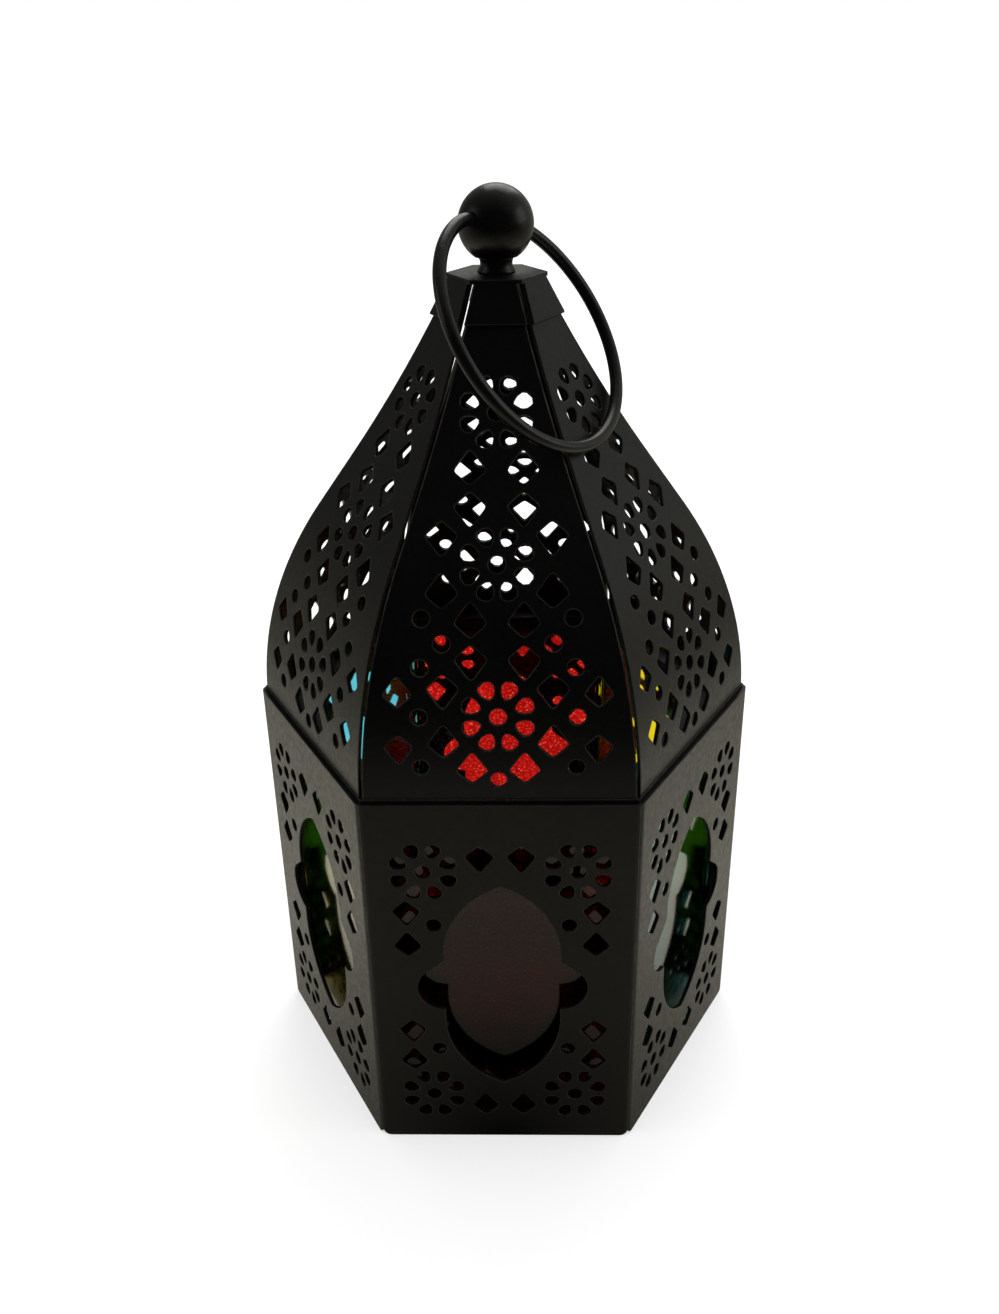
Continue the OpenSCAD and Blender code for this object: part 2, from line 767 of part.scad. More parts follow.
// Kites round a rosette, above it or below it, their narrow ends towards it
module roof_kites(t, turns, ends) {
  r = roof_kite_ring_share * side_w;
  for (a = turns, m = [-1, 1], n = ends)
    roof_hole(m * r * sin(a), t + n * r * cos(a))
      rotate(n > 0 ? 180 : 0) kite_2d(kite_w * roof_hole_share, kite_h * roof_hole_share);
}

module roof_piercing() {
  for (k = roof_rosette_shares) roof_rosette(k * roof_l);
  for (k = [0, 1]) roof_kites(roof_rosette_shares[k] * roof_l, roof_kite_turns, [-1, 1]);
  roof_kites(roof_rosette_shares[2] * roof_l, [roof_kite_turns[0]], [-1]);
  for (m = [-1, 1], k = [0, 1])
    roof_hole(m * roof_edge_kite_shares[k][0] * side_w, roof_edge_kite_shares[k][1] * roof_l)
      rotate(k == 0 ? 180 : 0) kite_2d(roof_edge_kite_share * kite_w, roof_edge_kite_share * kite_h);
  for (k = roof_dot_shares, m = k[0] == 0 ? [1] : [-1, 1])
    roof_hole(m * k[0] * side_w, k[1] * roof_l)
      circle(d = dot_d, $fn = 16);
}

module petal() {
  difference() {
    intersection() {
      across(petal_half_w) roof_section(0, sheet_t);
      front_wedge(hip_gap_foot, hip_gap_top);
    }
    roof_piercing();
  }
}

module petal_front() {
  color("#191817") petal();
}

module petal_front_left() {
  color("#191817") rotate(turn_front_left) petal();
}

module petal_front_right() {
  color("#191817") rotate(turn_front_right) petal();
}

module petal_rear_left() {
  color("#191817") rotate(turn_rear_left) petal();
}

module petal_rear_right() {
  color("#191817") rotate(turn_rear_right) petal();
}

module petal_rear() {
  color("#191817") rotate(turn_rear) petal();
}

// One flat top with a hole for the stud, and six tabs that lie on the petals' tops
module roof_cap() {
  color("#161616")
    difference() {
      union() {
        for (i = [0:sides - 1])
          rotate(i * step)
            intersection() {
              across(petal_half_w) roof_section(cap_t, cap_t, cap_lean, false);
              front_wedge(cap_slot_w, cap_slot_w);
            }
        translate([0, 0, cap_z])
          cylinder(r = (top_r + cap_t) / cos(half_step), h = cap_t, $fn = sides);
      }
      translate([0, 0, cap_z - overrun])
        cylinder(d = stud_d + 2 * stud_play, h = cap_t + 2 * overrun);
    }
}

module cap_washer() {
  color("#6a6a6c")
    translate([0, 0, cap_z - washer_t])
      difference() {
        cylinder(d = washer_d, h = washer_t);
        translate([0, 0, -overrun])
          cylinder(d = stud_d + 2 * stud_play, h = washer_t + 2 * overrun);
      }
}

module finial_nut() {
  color("#6a6a6c")
    translate([0, 0, cap_z - washer_t - nut_t])
      difference() {
        cylinder(d = nut_w / cos(half_step), h = nut_t, $fn = sides);
        translate([0, 0, -overrun]) cylinder(d = stud_d, h = nut_t + 2 * overrun);
      }
}

module finial_stud() {
  color("#6a6a6c")
    translate([0, 0, stud_low]) cylinder(d = stud_d, h = stud_top - stud_low);
}

module finial_spacer() {
  color("#121212")
    translate([0, 0, cap_top])
      difference() {
        cylinder(d = spacer_d, h = ball_seat_z - cap_top);
        translate([0, 0, -overrun])
          cylinder(d = stud_d + 2 * stud_play, h = ball_seat_z - cap_top + 2 * overrun);
      }
}

// The frame of the ring's hinge: its x axis is the cross hole
module hole_frame() {
  translate([0, 0, ball_z])
    rotate([0, 0, hole_turn])
      rotate([0, hole_slope, 0]) children();
}

module finial_ball() {
  color("#1c1c1d")
    difference() {
      translate([0, 0, ball_z]) sphere(d = ball_d, $fn = 96);
      translate([0, 0, ball_seat_z - ball_d]) cylinder(d = ball_d, h = ball_d);
      translate([0, 0, ball_seat_z - overrun])
        cylinder(d = stud_d, h = stud_top - ball_seat_z + overrun);
      hole_frame()
        translate([-ball_d, 0, 0])
          rotate([0, 90, 0]) cylinder(d = wire_d + 2 * wire_play, h = 2 * ball_d);
    }
}

module ring_handle() {
  arc = 360 - 2 * ring_pin_angle;
  color("#232324")
    hole_frame()
      rotate([ring_droop, 0, 0]) {
        translate([-ring_pin_half, 0, 0])
          rotate([0, 90, 0]) cylinder(d = wire_d, h = 2 * ring_pin_half);
        for (m = [-1, 1])
          translate([m * ring_pin_half, 0, 0]) sphere(d = ring_bead_share * wire_d);
        translate([0, -ring_centre_drop, 0])
          rotate([0, 0, 90 + ring_pin_angle])
            rotate_extrude(angle = arc, $fn = 120)
              translate([ring_r, 0]) circle(d = wire_d, $fn = 24);
      }
}

base_plate();
candle_cup();
panel_front();
panel_front_left();
panel_front_right();
panel_rear_left();
panel_rear_right();
door_panel();
hinge_pin();
latch_knob();
latch_tongue();
strike_plate();
glass_front();
glass_front_left();
glass_front_right();
glass_rear_left();
glass_rear_right();
door_glass();
lower_channels();
upper_channels();
door_channels();
rim_frame();
petal_front();
petal_front_left();
petal_front_right();
petal_rear_left();
petal_rear_right();
petal_rear();
roof_cap();
cap_washer();
finial_nut();
finial_stud();
finial_spacer();
finial_ball();
ring_handle();
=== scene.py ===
import json
import math

import bmesh
import bpy
import numpy as np
from mathutils import Matrix, Vector

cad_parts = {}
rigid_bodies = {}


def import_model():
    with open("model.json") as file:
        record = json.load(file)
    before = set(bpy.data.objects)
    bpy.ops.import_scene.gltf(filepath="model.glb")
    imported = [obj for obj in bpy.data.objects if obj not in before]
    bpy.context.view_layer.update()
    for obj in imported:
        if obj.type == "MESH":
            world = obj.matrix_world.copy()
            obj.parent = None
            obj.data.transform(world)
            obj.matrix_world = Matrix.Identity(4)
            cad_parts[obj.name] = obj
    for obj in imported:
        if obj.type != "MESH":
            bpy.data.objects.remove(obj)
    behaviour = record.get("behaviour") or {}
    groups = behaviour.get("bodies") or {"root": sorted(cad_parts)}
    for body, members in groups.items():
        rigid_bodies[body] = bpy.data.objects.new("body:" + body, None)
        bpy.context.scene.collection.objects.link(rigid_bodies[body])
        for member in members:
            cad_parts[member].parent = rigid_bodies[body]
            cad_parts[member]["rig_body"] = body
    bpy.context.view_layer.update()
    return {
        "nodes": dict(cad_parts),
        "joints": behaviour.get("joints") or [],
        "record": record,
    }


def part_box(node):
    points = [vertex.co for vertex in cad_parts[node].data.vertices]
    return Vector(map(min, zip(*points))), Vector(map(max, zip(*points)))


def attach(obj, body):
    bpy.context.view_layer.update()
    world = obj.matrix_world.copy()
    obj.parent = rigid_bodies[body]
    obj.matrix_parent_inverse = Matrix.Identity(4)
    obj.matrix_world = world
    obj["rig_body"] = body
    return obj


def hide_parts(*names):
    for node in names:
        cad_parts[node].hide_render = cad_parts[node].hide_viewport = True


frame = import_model()

# Lengths are in metres, and named angles are in degrees
MM = 0.001

# Sizes as the construction has them
SIDES = 6
SIDE_TURN = 360 / SIDES
SIDE_WIDTH = 52 * MM
RING_RADIUS = 22.4 * MM
WIRE_WIDTH = 2.4 * MM
WIRE_PLAY = 0.06 * MM
BALL_WIDTH = 13.8 * MM

# Each pane's slot, and how many sides round from the front it stands
PANES = {
    "glass_front": ("red_glass", 0),
    "glass_front_right": ("blue_glass", 1),
    "glass_rear_right": ("yellow_glass", 2),
    "door_glass": ("red_glass", 3),
    "glass_rear_left": ("blue_glass", 4),
    "glass_front_left": ("yellow_glass", 5),
}

# Small pieces whose edges are rounded: node, slot and width of the rounding
SOFTENED = (
    ("latch_knob", "black_hardware", 0.35 * MM),
    ("latch_tongue", "bare_steel", 0.12 * MM),
    ("strike_plate", "bare_steel", 0.1 * MM),
    ("hinge_pin", "bare_steel", 0.2 * MM),
    ("finial_nut", "bare_steel", 0.25 * MM),
    ("cap_washer", "bare_steel", 0.12 * MM),
    ("roof_cap", "black_sheet", 0.4 * MM),
)

# The photograph's frame, and the camera that was solved from the hexagon's corners
PHOTO_HEIGHT = 1314
FOCAL_PIXELS = 1226.16
SENSOR = 36.0
CAMERA_TARGET = Vector((-0.676, 0.0, 90.89)) * MM
CAMERA_DISTANCE = 259.27 * MM
CAMERA_YAW = -1.541
CAMERA_PITCH = 26.93
CAMERA_ROLL = -1.008
CAMERA_NEAR = 10 * MM

# Edges of metal: samples, and how far the rounded normal turns from bare face to full edge
EDGE_SAMPLES = 4
EDGE_TURN = (0.99, 0.8)

# Ray depths that tell a mirrored ray, one behind a pane, and one behind two panes' four faces
ONE_MIRROR = 0.5
ONE_FACE = 0.5
TWO_PANES = 3.5


class Tree:
    """A node tree with short calls for what the materials here need."""

    def __init__(self, owner):
        owner.use_nodes = True
        self.nodes = owner.node_tree.nodes
        self.links = owner.node_tree.links
        self.nodes.clear()

    def feed(self, value, socket):
        """Links a socket to that input, or sets a plain value there."""
        if isinstance(value, bpy.types.NodeSocket):
            self.links.new(value, socket)
        else:
            socket.default_value = value

    def add(self, kind, **inputs):
        """A node of that kind; each input is a value to set or a socket to link."""
        node = self.nodes.new("ShaderNode" + kind)
        for name, value in inputs.items():
            self.feed(value, node.inputs[name.replace("_", " ")])
        return node

    def math(self, operation, a, b):
        """Arithmetic on two numbers."""
        node = self.add("Math")
        node.operation = operation
        self.feed(a, node.inputs[0])
        self.feed(b, node.inputs[1])
        return node.outputs[0]

    def vector_math(self, operation, a, b):
        """Arithmetic on two vectors that gives a number."""
        node = self.add("VectorMath")
        node.operation = operation
        self.feed(a, node.inputs[0])
        self.feed(b, node.inputs[1])
        return node.outputs["Value"]

    def place(self):
        """Place on the object in metres; it moves with the object."""
        return self.add("TexCoord").outputs["Object"]

    def distance(self, centre):
        """Distance on the object from that place."""
        return self.vector_math("DISTANCE", self.place(), centre)

    def noise(self, size, detail=2.0, stretch=None):
        """Clouds of that size in metres, from 0 to 1."""
        vector = self.place()
        if stretch:
            vector = self.add("Mapping", Vector=vector, Scale=stretch).outputs[0]
        node = self.add("TexNoise", Vector=vector, Scale=1.0 / size, Detail=detail, Roughness=0.55)
        return node.outputs[0]

    def grains(self, size):
        """Rounded cells of that size in metres: 0 at each cell's middle."""
        return self.add("TexVoronoi", Vector=self.place(), Scale=1.0 / size).outputs["Distance"]

    def span(self, value, low, high, to_low, to_high):
        """The value, carried from one range to another and held at its ends."""
        node = self.add("MapRange", Value=value, From_Min=low, From_Max=high, To_Min=to_low, To_Max=to_high)
        return node.outputs[0]

    def fade(self, share, level):
        """1 where the share is 0, and that level where it is 1."""
        return self.span(share, 0.0, 1.0, 1.0, level)

    def blend(self, share, first, second):
        """A colour between two, by a share."""
        node = self.nodes.new("ShaderNodeMix")
        node.data_type = "RGBA"
        factor, first_in, second_in = node.inputs[0], node.inputs[6], node.inputs[7]
        self.feed(share, factor)
        for socket, value in ((first_in, first), (second_in, second)):
            self.feed(value if isinstance(value, bpy.types.NodeSocket) else (*value, 1.0), socket)
        return node.outputs[2]

    def bump(self, height, depth, normal=None):
        """A normal turned by a relief of that depth, over another normal if one is given."""
        node = self.add("Bump", Height=height, Distance=depth, Strength=1.0)
        if normal is not None:
            self.links.new(normal, node.inputs["Normal"])
        return node.outputs[0]

    def edges(self, width):
        """1 on an edge of the metal and 0 away from it, and the rounded normal there."""
        rounded = self.add("Bevel", Radius=width)
        rounded.samples = EDGE_SAMPLES
        flat = self.add("NewGeometry").outputs["Normal"]
        likeness = self.vector_math("DOT_PRODUCT", rounded.outputs[0], flat)
        return self.span(likeness, *EDGE_TURN, 0.0, 1.0), rounded.outputs[0]

    def deeper(self, path, kind, depth):
        """1 for a ray that has met more than that many faces of a kind, and otherwise 0."""
        return self.math("GREATER_THAN", path.outputs[kind + " Depth"], depth)

    def glow(self, level, colour=(1, 1, 1, 1)):
        """A shader that shines at that level."""
        return self.add("Emission", Color=colour, Strength=level).outputs[0]

    def mixed(self, share, first, second):
        """A shader between two, by a share."""
        node = self.add("MixShader")
        for socket, value in zip(node.inputs, (share, first, second)):
            self.links.new(value, socket)
        return node.outputs[0]

    def finish(self, shader, output="OutputMaterial"):
        """Gives the tree its result."""
        self.links.new(shader, self.add(output).inputs["Surface"])


# Where clouds mostly lie between 0 and 1: all but their ends, and their middle
CLOUD_RANGE = (0.3, 0.7)
CLOUD_MIDDLE = (0.35, 0.68)

# Black coat: tone, rubbed patches that also stand in as a painted highlight along the edges, roughness and
# dust
COAT_CLOUDS = 18 * MM
COAT_SPECKLE = 0.45 * MM
COAT_TONE_RANGE = (0.12, 0.42)
COAT_PATCHES = 3.5 * MM
COAT_PATCH_RANGE = (0.42, 0.62)
COAT_LEAST_RUB = 0.25
COAT_ROUGH_PATCHES = 1.2 * MM
COAT_SMOOTHER, COAT_ROUGHER = 0.06, 0.07
DUST_SHARE = 0.35

# Bare metal: dull clouds, and lines from brushing
METAL_CLOUDS = 6 * MM
METAL_LINES = 0.25 * MM
METAL_LINE_DEPTH = 0.012 * MM
METAL_EDGE = 0.12 * MM
METAL_DULL_RANGE = (0.4, 1.5)
METAL_SMOOTHER, METAL_ROUGHER = 0.08, 0.16

# Glass: streaks, pale spots painted as the highlights of light focused by pebbles, roughness and fine
# ripples
GLASS_STREAKS = 9 * MM
GLASS_STRETCH = (1.0, 1.0, 0.25)
GLINT_PITCH = 0.85 * MM
GLINT_RANGE = (0.08, 0.42)
GLINT_STRENGTH = 0.9
GLASS_ROUGH_PATCHES = 2 * MM
GLASS_ROUGHNESS = (0.02, 0.07)
GLASS_RIPPLES = 0.35 * MM
GLASS_RIPPLE_DEPTH = 0.006 * MM
GLASS_IOR = 1.5


def coated(name, dark, light, rubbed_highlight, rough, specular, grain, grain_depth, edge_width):
    """Satin black coat: fine orange peel, faint clouds, and a thin lighter rub along the edges, partly wear
    and partly a painted highlight.
    """
    mat = bpy.data.materials.new(name)
    tree = Tree(mat)
    tone = tree.math("MULTIPLY", tree.noise(COAT_CLOUDS, detail=3.0), tree.noise(COAT_SPECKLE))
    body = tree.blend(tree.span(tone, *COAT_TONE_RANGE, 0.0, 1.0), dark, light)
    edge, normal = tree.edges(edge_width)
    patches = tree.span(tree.noise(COAT_PATCHES, detail=4.0), *COAT_PATCH_RANGE, COAT_LEAST_RUB, 1.0)
    # The edge rub is partly wear and partly a painted highlight: a lighter, half-bare colour along every
    # edge
    worn_and_highlit = tree.math("MULTIPLY", edge, patches)
    colour = tree.blend(worn_and_highlit, body, rubbed_highlight)
    roughness = tree.span(tree.noise(COAT_ROUGH_PATCHES, detail=4.0), *CLOUD_RANGE,
                          rough - COAT_SMOOTHER, rough + COAT_ROUGHER)
    peel = tree.bump(tree.noise(grain, detail=3.0), grain_depth, normal)
    dust = tree.bump(tree.noise(grain * DUST_SHARE), grain_depth * DUST_SHARE, peel)
    shader = tree.add("BsdfPrincipled", Base_Color=colour, Metallic=worn_and_highlit, Roughness=roughness, Normal=dust,
                      Specular_IOR_Level=specular)
    tree.finish(shader.outputs[0])
    return mat


def bare_metal(name, tint, dull, rough, brushed):
    """Plated or spun metal: fine brushing along one axis, dull clouds and small stains."""
    mat = bpy.data.materials.new(name)
    tree = Tree(mat)
    clouds = tree.span(tree.noise(METAL_CLOUDS, detail=4.0), *CLOUD_MIDDLE, 0.0, 1.0)
    colour = tree.blend(clouds, tint, dull)
    lines = tree.noise(METAL_LINES, stretch=brushed)
    roughness = tree.span(tree.math("ADD", lines, clouds), *METAL_DULL_RANGE,
                          rough - METAL_SMOOTHER, rough + METAL_ROUGHER)
    normal = tree.bump(lines, METAL_LINE_DEPTH, tree.edges(METAL_EDGE)[1])
    shader = tree.add("BsdfPrincipled", Base_Color=colour, Metallic=1.0, Roughness=roughness, Normal=normal)
    tree.finish(shader.outputs[0])
    return mat


def tinted_glass(name, tint, deep, painted_glints=None):
    """Faintly streaked glass, with pale spots painted in as the highlights of pebbles' lensing; the lamps'
    light passes through it.
    """
    mat = bpy.data.materials.new(name)
    tree = Tree(mat)
    streaks = tree.noise(GLASS_STREAKS, detail=3.0, stretch=GLASS_STRETCH)
    colour = tree.blend(tree.span(streaks, *CLOUD_MIDDLE, 0.0, 1.0), tint, deep)
    if painted_glints:
        # The pale spots are painted highlights, standing in for light focused by the pebbles
        glint_share = tree.span(tree.grains(GLINT_PITCH), *GLINT_RANGE, GLINT_STRENGTH, 0.0)
        colour = tree.blend(glint_share, colour, painted_glints)
    roughness = tree.span(tree.noise(GLASS_ROUGH_PATCHES, detail=3.0), *CLOUD_RANGE, *GLASS_ROUGHNESS)
    normal = tree.bump(tree.noise(GLASS_RIPPLES), GLASS_RIPPLE_DEPTH)
    glass = tree.add("BsdfPrincipled", Base_Color=colour, Roughness=roughness, Normal=normal,
                     Transmission_Weight=1.0, IOR=GLASS_IOR)
    clear = tree.add("BsdfTransparent", Color=colour)
    shadow = tree.add("LightPath").outputs["Is Shadow Ray"]
    tree.finish(tree.mixed(shadow, glass.outputs[0], clear.outputs[0]))
    return mat


def make_materials():
    """One material for each of the record's slots."""
    return {
        # Each coat's rubbed colour is partly wear and partly a painted highlight along its edges
        "black_sheet": coated(
            "black_sheet", dark=(0.0009, 0.0009, 0.0007), light=(0.0026, 0.0025, 0.0019),
            rubbed_highlight=(0.09, 0.09, 0.082), rough=0.37, specular=0.27,
            grain=0.5 * MM, grain_depth=0.016 * MM, edge_width=0.42 * MM),
        "black_hardware": coated(
            "black_hardware", dark=(0.001, 0.001, 0.001), light=(0.0026, 0.0026, 0.0025),
            rubbed_highlight=(0.06, 0.06, 0.058), rough=0.28, specular=0.3,
            grain=0.4 * MM, grain_depth=0.014 * MM, edge_width=0.12 * MM),
        "black_wire": coated(
            "black_wire", dark=(0.0016, 0.0016, 0.0017), light=(0.0034, 0.0034, 0.0036),
            rubbed_highlight=(0.06, 0.06, 0.062), rough=0.26, specular=0.38,
            grain=0.45 * MM, grain_depth=0.013 * MM, edge_width=0.1 * MM),
        "bare_steel": bare_metal(
            "bare_steel", tint=(0.42, 0.42, 0.43), dull=(0.24, 0.235, 0.23), rough=0.34, brushed=(1, 1, 6)),
        # The red glass's pale spots are painted highlights
        "red_glass": tinted_glass(
            "red_glass", tint=(0.42, 0.005, 0.004), deep=(0.24, 0.002, 0.002), painted_glints=(1.0, 0.15, 0.08)),
        "yellow_glass": tinted_glass("yellow_glass", tint=(0.8, 0.62, 0.012), deep=(0.68, 0.5, 0.008)),
        "blue_glass": tinted_glass("blue_glass", tint=(0.1, 0.54, 0.63), deep=(0.065, 0.44, 0.56)),
    }


def mesh_object(name, vertices, faces, body, slot, smooth=True):
    """A mesh in its slot's material, which rides on that body."""
    mesh = bpy.data.meshes.new(name)
    mesh.from_pydata([tuple(v) for v in vertices], [], faces)
    mesh.polygons.foreach_set("use_smooth", [smooth] * len(mesh.polygons))
    mesh.update()
    obj = bpy.data.objects.new(name, mesh)
    bpy.context.scene.collection.objects.link(obj)
    mesh.materials.append(materials[slot])
    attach(obj, body)
    return obj


def body_of(node):
    """The body that carries a CAD node."""
    return frame["nodes"][node]["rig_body"]


# Panes: the red ones are pebbled inside, the others are drawn glass with faint waves
PANE_SEED = 11
RIM_STEPS = 2
PEBBLE_PITCH = 1.05 * MM
PEBBLE_DEPTH = 0.04 * MM
PEBBLE_SCATTER = (0.08, 0.92)
PEBBLE_REACH_SHARE = 0.85
PEBBLED_STEP = 0.34 * MM
WAVE_ACROSS, WAVE_ALONG = 17 * MM, 29 * MM
WAVE_ACROSS_SLANT, WAVE_ALONG_SLANT = 0.3, -0.2
WAVE_DEPTH = 0.035 * MM
WAVED_STEP = 1.2 * MM

# Cells that the pebbles' grid has before the pane, and beyond its size in all
GRID_START = 2
GRID_SPARE = 6


def pebbles(x, z, seed):
    """Height of a pebbled face at each place: the distance to the nearest of many scattered middles."""
    draw = np.random.default_rng(seed)
    columns = int(x.max() / PEBBLE_PITCH - x.min() / PEBBLE_PITCH) + GRID_SPARE
    rows = int(z.max() / PEBBLE_PITCH - z.min() / PEBBLE_PITCH) + GRID_SPARE
    shift = draw.uniform(*PEBBLE_SCATTER, (columns, rows, 2))
    u = (x - x.min()) / PEBBLE_PITCH + GRID_START
    v = (z - z.min()) / PEBBLE_PITCH + GRID_START
    i, j = u.astype(int), v.astype(int)
    nearest = np.full(x.shape, np.inf)
    for di in (-1, 0, 1):
        for dj in (-1, 0, 1):
            place = shift[i + di, j + dj]
            gap = np.hypot(i + di + place[..., 0] - u, j + dj + place[..., 1] - v)
            nearest = np.minimum(nearest, gap)
    return PEBBLE_DEPTH * (1 - np.clip(nearest / PEBBLE_REACH_SHARE, 0, 1) ** 2)


def waves(x, z, seed):
    """Height of a drawn sheet's faint waves, from zero to the waves' depth."""
    phase = np.random.default_rng(seed).uniform(0, 2 * math.pi, 2)
    across = np.sin(2 * math.pi * (x + WAVE_ACROSS_SLANT * z) / WAVE_ACROSS + phase[0])
    along = np.sin(2 * math.pi * (z + WAVE_ALONG_SLANT * x) / WAVE_ALONG + phase[1])
    return WAVE_DEPTH * (2 + across + along) / 4


def front_box(node, side):
    """The box of a CAD node of one side, turned back to the front."""
    turned = Matrix.Rotation(math.radians(-side * SIDE_TURN), 3, "Z")
    points = [turned @ v.co for v in frame["nodes"][node].data.vertices]
    low = Vector([min(p[k] for p in points) for k in range(3)])
    high = Vector([max(p[k] for p in points) for k in range(3)])
    return low, high


def pane(node, slot, side):
    """A closed slab in the place of that CAD pane, with a pebbled or a faintly waved inner face."""
    low, high = front_box(node, side)
    if slot == "red_glass":
        step, depth, relief = PEBBLED_STEP, PEBBLE_DEPTH, pebbles
    else:
        step, depth, relief = WAVED_STEP, WAVE_DEPTH, waves
    columns = int((high.x - low.x) / step)
    rows = int((high.z - low.z) / step)
    x, z = np.meshgrid(np.linspace(low.x, high.x, columns + 1), np.linspace(low.z, high.z, rows + 1),
                       indexing="ij")
    rim = np.minimum(np.minimum(x - low.x, high.x - x), np.minimum(z - low.z, high.z - z))
    fade = np.clip(rim / (RIM_STEPS * step), 0, 1)
    y = high.y - fade * (depth - relief(x, z, PANE_SEED + side))
    inner = np.stack([x, y, z], -1).reshape(-1, 3)
    index = np.arange((columns + 1) * (rows + 1)).reshape(columns + 1, rows + 1)
    loop = [*index[:, 0], *index[-1, 1:], *index[-2::-1, -1], *index[0, -2:0:-1]]
    outer = inner[loop] * (1, 0, 1) + (0, low.y, 0)
    first = len(inner)
    count = len(loop)
    faces = [
        (int(index[i, j]), int(index[i, j + 1]), int(index[i + 1, j + 1]), int(index[i + 1, j]))
        for i in range(columns) for j in range(rows)
    ]
    relief_count = len(faces)
    faces += [
        (int(loop[k]), int(loop[(k + 1) % count]), first + (k + 1) % count, first + k)
        for k in range(count)
    ]
    faces.append(tuple(first + k for k in range(count)))
    obj = mesh_object(node.replace("glass", "pane"), np.vstack([inner, outer]), faces, body_of(node), slot)
    for face in obj.data.polygons[relief_count:]:
        face.use_smooth = False
    obj.data.transform(Matrix.Rotation(math.radians(side * SIDE_TURN), 4, "Z"))
    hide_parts(node)


# Ring: one bent wire, whose straight stretch passes through the ball
RING_STEPS = 150
BALL_STEPS = 24
BEND_EASINGS = 6
WIRE_SIDES = 28
WIRE_FLATS = 5
WIRE_FLAT_SHARE = 0.012
WIRE_FLAT_TWIST = 0.21


def ring_path():
    """The middle of the wire, in the plane of the ring: x along the ball's hole, y towards the ball."""
    half = BALL_WIDTH / 2 + WIRE_WIDTH / 2 + WIRE_PLAY
    opening = math.asin(half / RING_RADIUS)
    drop = RING_RADIUS * math.cos(opening)
    points = []
    for k in range(RING_STEPS + 1):
        a = math.pi / 2 + opening + (2 * math.pi - 2 * opening) * k / RING_STEPS
        points.append(Vector((RING_RADIUS * math.cos(a), RING_RADIUS * math.sin(a) - drop, 0)))
    points += [Vector((half - 2 * half * k / BALL_STEPS, 0, 0)) for k in range(1, BALL_STEPS)]
    return points


def ring_place():
    """Turns the ring's own plane to where the CAD ring rests."""
    joint = next(j for j in frame["joints"] if j["name"] == "ring_swing")
    centre = Vector(joint["pos_m"])
    along = Vector(joint["axis"]).normalized()
    points = [v.co for v in frame["nodes"]["ring_handle"].data.vertices]
    middle = sum(points, Vector()) / len(points) - centre
    towards_ball = -(middle - middle.dot(along) * along).normalized()
    turn = Matrix((along, towards_ball, along.cross(towards_ball))).transposed().to_4x4()
    return Matrix.Translation(centre) @ turn


def ring():
    """The swept wire, with its bends eased and faint flats where it was rolled."""
    points = ring_path()
    count = len(points)
    for _ in range(BEND_EASINGS):
        points = [(points[k - 1] + 2 * points[k] + points[(k + 1) % count]) / 4 for k in range(count)]
    place = ring_place()
    upward = Vector((0, 0, 1))
    vertices, faces = [], []
    for k, p in enumerate(points):
        ahead = (points[(k + 1) % count] - points[k - 1]).normalized()
        outward = Vector((ahead.y, -ahead.x, 0))
        near, far = k * WIRE_SIDES, (k + 1) % count * WIRE_SIDES
        for s in range(WIRE_SIDES):
            a = 2 * math.pi * s / WIRE_SIDES
            flat = WIRE_FLAT_SHARE * (1 + math.sin(WIRE_FLATS * a + WIRE_FLAT_TWIST * k)) / 2
            radius = WIRE_WIDTH / 2 * (1 - flat)
            vertices.append(place @ (p + radius * (math.cos(a) * outward + math.sin(a) * upward)))
            after = (s + 1) % WIRE_SIDES
            faces.append((near + s, near + after, far + after, far + s))
    obj = mesh_object("ring_wire", vertices, faces, body_of("ring_handle"), "black_wire")
    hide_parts("ring_handle")


# Softened pieces: points nearer than this are one, and faces that turn less are one flat face
SOFT_WELD = 0.002 * MM
SOFT_FLAT_TURN = 0.5
SOFT_EDGE_TURN = 32
SOFT_SEGMENTS = 3


def softened(node, slot, width):
    """A copy of a small CAD piece with its edges rounded as a cast or pressed piece has them."""
    work = bmesh.new()
    work.from_mesh(frame["nodes"][node].data)
    bmesh.ops.remove_doubles(work, verts=work.verts, dist=SOFT_WELD)
    bmesh.ops.dissolve_limit(work, angle_limit=math.radians(SOFT_FLAT_TURN), verts=work.verts,
                             edges=work.edges)
    mesh = bpy.data.meshes.new(node + "_soft")
    work.to_mesh(mesh)
    work.free()
    mesh.materials.clear()
    mesh.materials.append(materials[slot])
    obj = bpy.data.objects.new(node + "_soft", mesh)
    bpy.context.scene.collection.objects.link(obj)
    rounding = obj.modifiers.new("rounding", "BEVEL")
    rounding.width = width
    rounding.segments = SOFT_SEGMENTS
    rounding.limit_method = "ANGLE"
    rounding.angle_limit = math.radians(SOFT_EDGE_TURN)
    rounding.use_clamp_overlap = True
    mesh.polygons.foreach_set("use_smooth", [True] * len(mesh.polygons))
    weighted = obj.modifiers.new("shading", "WEIGHTED_NORMAL")
    weighted.keep_sharp = True
    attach(obj, body_of(node))
    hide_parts(node)


# Collar between the cap and the ball: shares of its height, and radii in millimetres
COLLAR_PROFILE = (
    (0.0, 3.45), (0.1, 3.5), (0.22, 3.3), (0.42, 3.0), (0.62, 2.95), (0.82, 3.1), (0.94, 3.3), (1.0, 3.2),
)
COLLAR_BORE = 1.7 * MM
COLLAR_SIDES = 40


